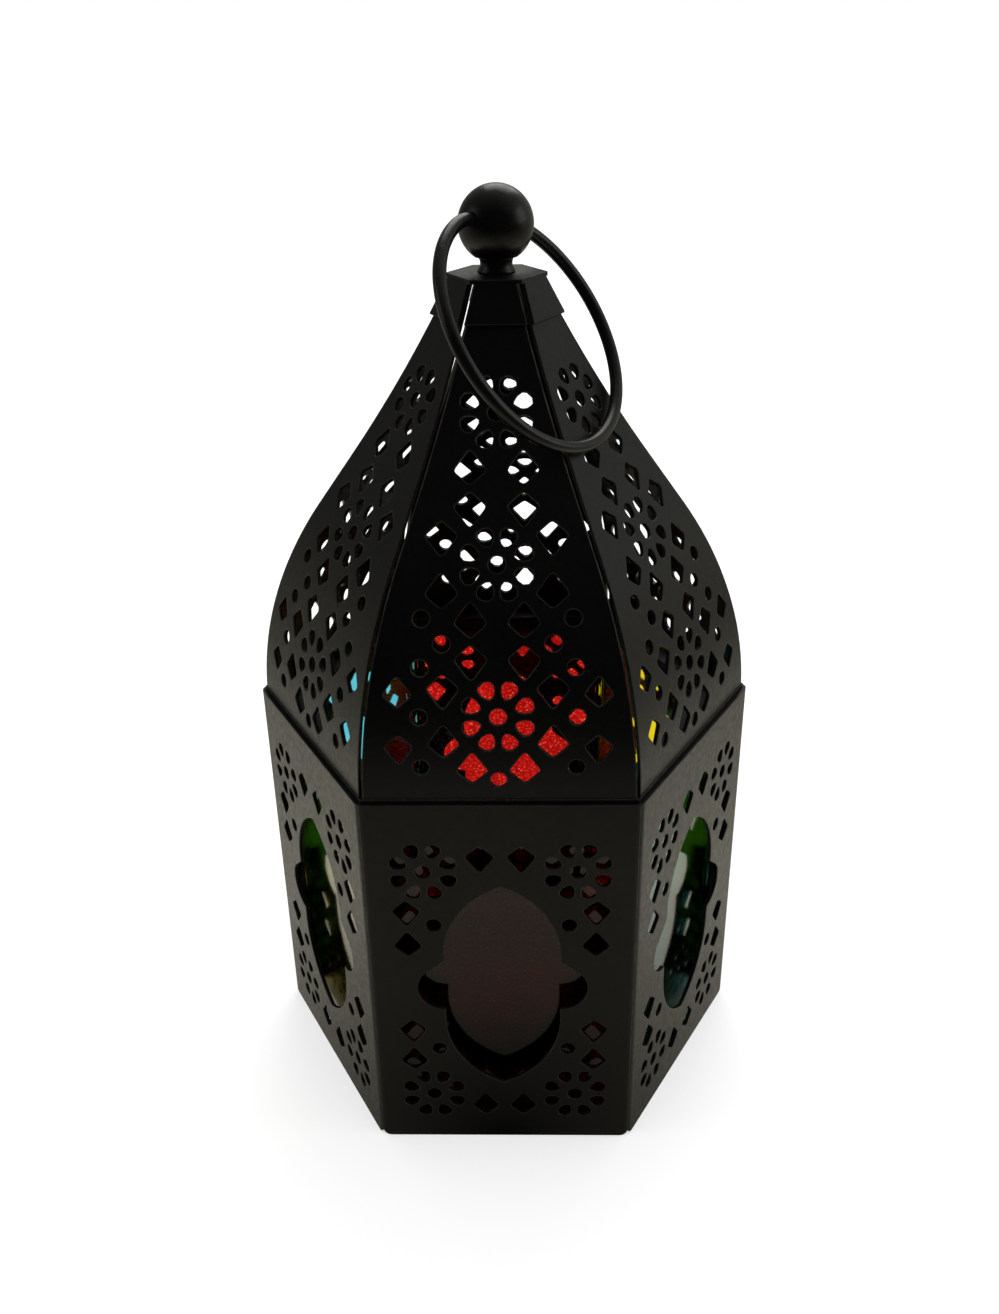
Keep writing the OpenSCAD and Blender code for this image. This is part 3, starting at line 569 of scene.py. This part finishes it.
def collar():
    """A turned collar with a flared foot and head, in the place of the plain spacer."""
    low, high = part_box("finial_spacer")
    profile = [(COLLAR_BORE, low.z)]
    profile += [(radius * MM, low.z + (high.z - low.z) * share) for share, radius in COLLAR_PROFILE]
    profile.append((COLLAR_BORE, high.z))
    vertices, faces = [], []
    count = len(profile)
    for k in range(COLLAR_SIDES):
        a = 2 * math.pi * k / COLLAR_SIDES
        vertices += [Vector((radius * math.cos(a), radius * math.sin(a), z)) for radius, z in profile]
        near, far = k * count, (k + 1) % COLLAR_SIDES * count
        faces += [(near + j, far + j, far + (j + 1) % count, near + (j + 1) % count) for j in range(count)]
    obj = mesh_object("finial_collar", vertices, faces, body_of("finial_spacer"), "black_hardware")
    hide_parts("finial_spacer")


# Tacks of solder in the open seam, which join the roof to the rim frame
TACK_SEED = 5
TACK_SHARES = (-0.245, 0.31)
TACK_WIDTH = 1.7 * MM
TACK_WIDTH_SPREAD = (0.8, 1.15)
TACK_HALF = 0.75 * MM
TACK_LUMPS = 0.06
TACK_RINGS = 7
TACK_SIDES = 12
TACK_WELD = 0.01 * MM


def tack(centre, draw):
    """The points of one lump of solder, ring by ring from top to bottom."""
    width = TACK_WIDTH * draw.uniform(*TACK_WIDTH_SPREAD)
    points = []
    for r in range(TACK_RINGS + 1):
        tilt = math.pi * r / TACK_RINGS
        for k in range(TACK_SIDES):
            a = 2 * math.pi * k / TACK_SIDES
            lump = 1 + draw.uniform(-TACK_LUMPS, TACK_LUMPS)
            points.append(centre + Vector((math.sin(tilt) * math.cos(a) * width / 2 * lump,
                                           math.sin(tilt) * math.sin(a) * TACK_HALF,
                                           math.cos(tilt) * TACK_HALF * lump)))
    return points


def seam_tacks():
    """One lump of solder near each end of each side's seam."""
    petal_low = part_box("petal_front")[0]
    panel_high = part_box("panel_front")[1]
    middle = (panel_high.z + petal_low.z) / 2
    draw = np.random.default_rng(TACK_SEED)
    vertices, faces = [], []
    for side in range(SIDES):
        turn = Matrix.Rotation(math.radians(side * SIDE_TURN), 3, "Z")
        for share in TACK_SHARES:
            first = len(vertices)
            centre = Vector((share * SIDE_WIDTH, petal_low.y + TACK_HALF, middle))
            vertices += [turn @ point for point in tack(centre, draw)]
            for r in range(TACK_RINGS):
                for k in range(TACK_SIDES):
                    a = first + r * TACK_SIDES + k
                    b = first + r * TACK_SIDES + (k + 1) % TACK_SIDES
                    faces.append((a, b, b + TACK_SIDES, a + TACK_SIDES))
    obj = mesh_object("seam_tacks", vertices, faces, "lantern", "black_sheet")
    work = bmesh.new()
    work.from_mesh(obj.data)
    bmesh.ops.remove_doubles(work, verts=work.verts, dist=TACK_WELD)
    bmesh.ops.recalc_face_normals(work, faces=work.faces)
    work.to_mesh(obj.data)
    work.free()


# Webs in the two side corners, between the panels' fold and the panes, as the folded edges have them
WEB_CORNERS = (0, 3)
WEB_OUTER, WEB_INNER = 51.3 * MM, 46.8 * MM
WEB_THICK = 0.4 * MM
WEB_BOW = 0.25 * MM
WEB_LOW, WEB_HIGH = 1.2 * MM, 80 * MM
WEB_STEPS = 12


def corner_webs():
    """A narrow, slightly bowed upright web behind each side corner, to close the view past the panes."""
    vertices, faces = [], []
    for corner in WEB_CORNERS:
        turn = Matrix.Rotation(math.radians(corner * SIDE_TURN), 3, "Z")
        for side in (-1, 1):
            first = len(vertices)
            for k in range(WEB_STEPS + 1):
                share = k / WEB_STEPS
                height = WEB_LOW + (WEB_HIGH - WEB_LOW) * share
                bow = WEB_BOW * math.sin(math.pi * share)
                for reach in (WEB_INNER + bow, WEB_OUTER):
                    vertices.append(turn @ Vector((reach, side * WEB_THICK / 2, height)))
            for k in range(WEB_STEPS):
                a = first + 2 * k
                face = (a, a + 1, a + 3, a + 2)
                faces.append(face if side < 0 else face[::-1])
        last = len(vertices) - 2 * (WEB_STEPS + 1)
        other = last - 2 * (WEB_STEPS + 1)
        for k in range(WEB_STEPS):
            a, b = other + 2 * k, last + 2 * k
            faces.append((a, a + 2, b + 2, b))
            faces.append((a + 1, b + 1, b + 3, a + 3))
        faces.append((other, last, last + 1, other + 1))
        top = 2 * WEB_STEPS
        faces.append((other + top, other + top + 1, last + top + 1, last + top))
    mesh_object("corner_webs", vertices, faces, "lantern", "black_sheet", smooth=False)


def dress_cad():
    """Gives each CAD node that stays in view the material of its slot."""
    for part in frame["record"]["subparts"]:
        mesh = frame["nodes"][part["node"]].data
        mesh.materials.clear()
        mesh.materials.append(materials[part["material_slot"]])


# Floor as the camera sees it, straight or through glass; through glass it has a painted shadow under the
# foot
FLOOR_SIZE = 6.0
FLOOR_DROP = 0.1 * MM
FLOOR_WHITE = (0.8, 0.8, 0.8, 1)
FLOOR_GLOW_SEEN = 0.5
FLOOR_FOOT_SHADOW_EDGES = (62 * MM, 80 * MM)
FLOOR_FOOT_SHADOW = 0.05
BEHIND_TWO_PANES = 0.2

# Floor as metal and glass mirror it: levels, with a painted shadow of the lantern close by and in front,
# and the places between which they change
MIRRORED_TINT = (1.0, 0.96, 0.78, 1)
MIRRORED_SHADOW = 0.03
MIRRORED_SHADOW_CENTRE = Vector((0, -45, 0)) * MM
MIRRORED_SHADOW_REACH = 105 * MM
MIRRORED_FRONT_SHADOW = 0.55
MIRRORED_FRONT_SHADOW_EDGES = (-150 * MM, 20 * MM)
MIRRORED_FRONT_FAR = 0.06
MIRRORED_FRONT_FAR_EDGES = (-460 * MM, -210 * MM)
MIRRORED_FAR = 0.32
MIRRORED_FAR_EDGES = (90 * MM, 340 * MM)
MIRRORED_INSIDE = 0.85

# World: its level, and how metal and glass mirror it from near to far and from left to right
WORLD_LEVEL = 0.7
WORLD_DARK_SIDE = 0.015
WORLD_DEPTH_RANGE = (-0.75, 0.05)
WORLD_LEFT_SIDE = 0.1
WORLD_RIGHT_SIDE = 0.4
WORLD_SIDE_RANGE = (-0.9, 0.9)
WORLD_MIRRORED_TINT = (1.0, 1.0, 0.88)

# Lamps: name, place, width and power
LAMPS = (
    ("back_lamp", (0.1, 0.75, 0.85), 0.7, 3.2),
    ("left_lamp", (-0.9, -0.1, 0.5), 0.5, 0.5),
    ("right_lamp", (0.9, 0.0, 0.45), 0.5, 0.8),
)
LAMP_AIM = Vector((0, 0, 0.09))


def floor_seen(tree, path):
    """Pale paper that keeps the shadow and shows white; dim behind two panes, and with a painted shadow
    under the foot for rays through glass.
    """
    paper = tree.add("BsdfDiffuse", Color=FLOOR_WHITE)
    through = tree.math("MAXIMUM", path.outputs["Is Camera Ray"], path.outputs["Is Transmission Ray"])
    lit = tree.nodes.new("ShaderNodeAddShader")
    tree.links.new(paper.outputs[0], lit.inputs[0])
    tree.links.new(tree.glow(tree.math("MULTIPLY", through, FLOOR_GLOW_SEEN)), lit.inputs[1])
    dimmed = tree.mixed(tree.deeper(path, "Transmission", TWO_PANES), lit.outputs[0],
                        tree.glow(BEHIND_TWO_PANES))
    # Painted shadow: the floor near the foot is a dark glow for rays through glass
    foot_shadow = tree.span(tree.distance(Vector()), *FLOOR_FOOT_SHADOW_EDGES, 1.0, 0.0)
    dark = tree.math("MULTIPLY", path.outputs["Is Transmission Ray"], foot_shadow)
    return tree.mixed(dark, dimmed, tree.glow(FLOOR_FOOT_SHADOW))


def floor_mirrored(tree, path):
    """A glow with a painted shadow of the lantern close by and in front, which fades far away, as a room's
    floor does.
    """
    # Painted shadow: the mirrored glow is darkest near the foot and dimmer in front of the lantern
    near = tree.span(tree.distance(MIRRORED_SHADOW_CENTRE), 0.0, MIRRORED_SHADOW_REACH, MIRRORED_SHADOW, 1.0)
    depth = tree.add("SeparateXYZ", Vector=tree.place()).outputs[1]
    front_shadow = tree.span(depth, *MIRRORED_FRONT_SHADOW_EDGES, MIRRORED_FRONT_SHADOW, 1.0)
    front_far = tree.span(depth, *MIRRORED_FRONT_FAR_EDGES, MIRRORED_FRONT_FAR, 1.0)
    far = tree.span(tree.distance(Vector()), *MIRRORED_FAR_EDGES, 1.0, MIRRORED_FAR)
    level = tree.math("MULTIPLY", tree.math("MULTIPLY", near, far), tree.math("MULTIPLY", front_shadow, front_far))
    inside = tree.fade(tree.deeper(path, "Transmission", ONE_FACE), MIRRORED_INSIDE)
    return tree.glow(tree.math("MULTIPLY", level, inside), MIRRORED_TINT)


def floor():
    """The floor, and what metal and glass mirror of it."""
    half = FLOOR_SIZE / 2
    corners = [(-half, -half), (half, -half), (half, half), (-half, half)]
    mesh = bpy.data.meshes.new("floor")
    mesh.from_pydata([(x, y, -FLOOR_DROP) for x, y in corners], [], [(0, 1, 2, 3)])
    obj = bpy.data.objects.new("floor", mesh)
    bpy.context.scene.collection.objects.link(obj)
    mat = bpy.data.materials.new("floor")
    tree = Tree(mat)
    path = tree.add("LightPath")
    tree.finish(tree.mixed(tree.deeper(path, "Glossy", ONE_MIRROR), floor_seen(tree, path),
                           floor_mirrored(tree, path)))
    mesh.materials.append(mat)


def world():
    """White to the camera and through glass; gloss sees it darker on the near side, as a room has it."""
    sky = bpy.data.worlds.new("studio")
    bpy.context.scene.world = sky
    tree = Tree(sky)
    path = tree.add("LightPath")
    seen = tree.math("MAXIMUM", path.outputs["Is Camera Ray"], path.outputs["Is Transmission Ray"])
    direction = tree.add("SeparateXYZ", Vector=tree.add("TexCoord").outputs["Generated"])
    by_side = tree.span(direction.outputs[0], *WORLD_SIDE_RANGE, WORLD_LEFT_SIDE, WORLD_RIGHT_SIDE)
    by_depth = tree.span(direction.outputs[1], *WORLD_DEPTH_RANGE, WORLD_DARK_SIDE, 1.0)
    mirrored = tree.math("MULTIPLY", by_depth, by_side)
    glossy = tree.deeper(path, "Glossy", ONE_MIRROR)
    straight = tree.math("MAXIMUM", tree.math("MULTIPLY", seen, tree.fade(glossy, 0.0)), WORLD_LEVEL)
    dimmed = tree.fade(tree.deeper(path, "Transmission", TWO_PANES), BEHIND_TWO_PANES)
    straight = tree.math("MULTIPLY", straight, dimmed)
    level = tree.math("MULTIPLY", glossy, tree.math("SUBTRACT", mirrored, straight))
    strength = tree.math("ADD", level, straight)
    colour = tree.blend(glossy, (1, 1, 1), WORLD_MIRRORED_TINT)
    tree.finish(tree.add("Background", Color=colour, Strength=strength).outputs[0], "OutputWorld")


def lamp(name, place, size, power):
    """A soft square lamp that looks at the lantern."""
    data = bpy.data.lights.new(name, "AREA")
    data.shape = "SQUARE"
    data.size = size
    data.energy = power
    obj = bpy.data.objects.new(name, data)
    bpy.context.scene.collection.objects.link(obj)
    obj.location = place
    obj.rotation_euler = (LAMP_AIM - obj.location).to_track_quat("-Z", "Y").to_euler()


def camera():
    """The camera of the photograph, from its solved place and turn."""
    yaw, pitch, roll = (math.radians(a) for a in (CAMERA_YAW, CAMERA_PITCH, CAMERA_ROLL))
    ahead = Vector((math.sin(yaw) * math.cos(pitch), math.cos(yaw) * math.cos(pitch), -math.sin(pitch)))
    right = Vector((math.cos(yaw), -math.sin(yaw), 0))
    up = right.cross(ahead)
    turned_right = math.cos(roll) * right + math.sin(roll) * up
    turned_up = math.cos(roll) * up - math.sin(roll) * right
    data = bpy.data.cameras.new("camera")
    data.sensor_width = SENSOR
    data.lens = FOCAL_PIXELS / PHOTO_HEIGHT * SENSOR
    data.clip_start = CAMERA_NEAR
    obj = bpy.data.objects.new("camera", data)
    bpy.context.scene.collection.objects.link(obj)
    obj.matrix_world = Matrix((
        (turned_right.x, turned_up.x, -ahead.x, 0),
        (turned_right.y, turned_up.y, -ahead.y, 0),
        (turned_right.z, turned_up.z, -ahead.z, 0),
        (0, 0, 0, 1),
    ))
    obj.location = CAMERA_TARGET - ahead * CAMERA_DISTANCE
    bpy.context.scene.camera = obj


camera()
materials = make_materials()
dress_cad()
for node, (slot, side) in PANES.items():
    pane(node, slot, side)
ring()
for node, slot, width in SOFTENED:
    softened(node, slot, width)
collar()
seam_tacks()
corner_webs()
floor()
world()
for name, place, size, power in LAMPS:
    lamp(name, place, size, power)
bpy.context.scene.view_settings.view_transform = "Standard"
